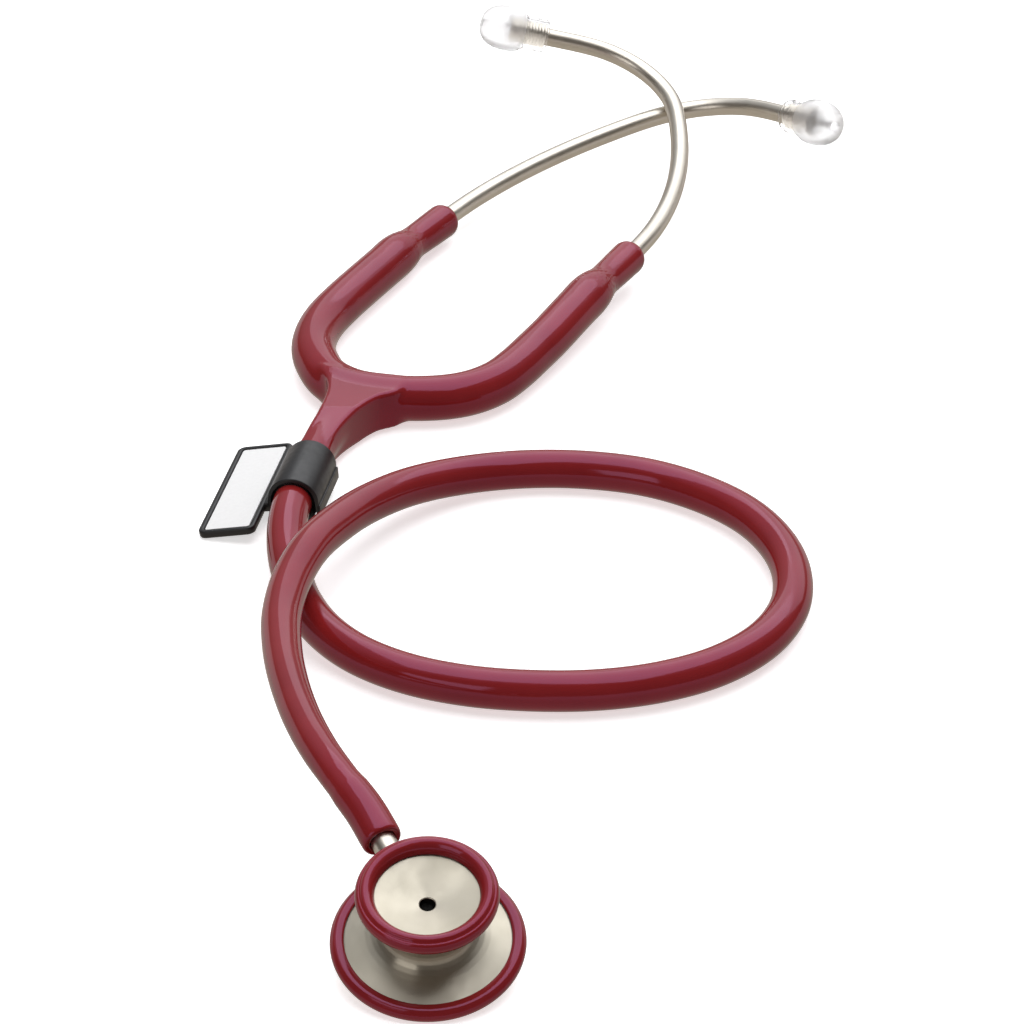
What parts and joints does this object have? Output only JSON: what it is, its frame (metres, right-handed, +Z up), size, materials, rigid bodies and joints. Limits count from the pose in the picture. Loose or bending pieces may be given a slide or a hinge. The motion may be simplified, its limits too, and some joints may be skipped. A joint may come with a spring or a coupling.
{
  "type": "stethoscope",
  "caption": "Dual-head acoustic stethoscope with steel ear tubes, a moulded Y yoke, one long flexible tube and a turning bell-and-diaphragm chest piece.",
  "frame": {"origin": "bottom centre of the object's box, measured without the free tubing, on the surface it lies on", "axes": "+Z up from the surface; ear tubes towards +Y, chest piece towards -Y; +X to the right"},
  "size_m": [0.186, 0.474, 0.0435],
  "materials": {
    "tubing": "gloss",
    "steel": "satin",
    "spring_steel": "satin",
    "silicone": "matte",
    "tag_plastic": "matte",
    "card": "matte",
    "seal_rubber": "matte",
    "membrane": "satin"
  },
  "bodies": {
    "root": {"yoke_hub": "tubing", "spring_bridge": "spring_steel", "tube": "tubing", "stem": "steel", "stem_collar": "steel", "o_ring": "seal_rubber"},
    "arm_left": {"yoke_arm_left": "tubing", "leaf_spring_left": "spring_steel"},
    "arm_right": {"yoke_arm_right": "tubing", "leaf_spring_right": "spring_steel"},
    "headset_left": {"ear_tube_left": "steel", "tip_ferrule_left": "steel"},
    "headset_right": {"ear_tube_right": "steel", "tip_ferrule_right": "steel"},
    "tip_left": {"eartip_left": "silicone"},
    "tip_right": {"eartip_right": "silicone"},
    "head": {"head_body": "steel", "bell_rim": "tubing", "diaphragm_rim": "tubing", "diaphragm": "membrane", "detent_ball": "spring_steel", "detent_spring": "spring_steel", "detent_plug": "steel"},
    "tag": {"tag_clip": "tag_plastic", "tag_card": "card"}
  },
  "joints": [
    {"name": "spread_left", "type": "hinge", "parent": "root", "child": "arm_left", "pos_m": [-0.06355, 0.06432, 0.00675], "axis": [0, 0, 1], "range_deg": [0, 4], "stiffness_Nm_per_rad": 0.6},
    {"name": "spread_right", "type": "hinge", "parent": "root", "child": "arm_right", "pos_m": [-0.02685, 0.04492, 0.00675], "axis": [0, 0, 1], "range_deg": [-4, 0], "stiffness_Nm_per_rad": 0.6},
    {"name": "ear_turn_left", "type": "hinge", "parent": "arm_left", "child": "headset_left", "pos_m": [-0.0272, 0.15812, 0.00675], "axis": [0.515, 0.8572, 0], "range_deg": [0, 12]},
    {"name": "ear_turn_right", "type": "hinge", "parent": "arm_right", "child": "headset_right", "pos_m": [0.028, 0.12892, 0.00945], "axis": [0.4524, 0.8918, 0], "range_deg": [0, 35]},
    {"name": "tip_pull_left", "type": "slide", "parent": "headset_left", "child": "tip_left", "axis": [0.6006, -0.7752, 0.196], "range_m": [0, 0.014]},
    {"name": "tip_pull_right", "type": "slide", "parent": "headset_right", "child": "tip_right", "axis": [-0.956, -0.1042, 0.2742], "range_m": [0, 0.014]},
    {"name": "head_turn", "type": "hinge", "parent": "root", "child": "head", "pos_m": [-0.02755, -0.21743, 0.01606], "axis": [-0.4305, 0.8676, 0.2488], "continuous": true},
    {"name": "tag_turn", "type": "hinge", "parent": "root", "child": "tag", "pos_m": [-0.06735, -0.01428, 0.0072], "axis": [0.1887, 0.982, 0], "range_deg": [0, 90]}
  ],
  "couplings": [
    {"joint": "spread_right", "follows": "spread_left", "ratio": -1}
  ]
}
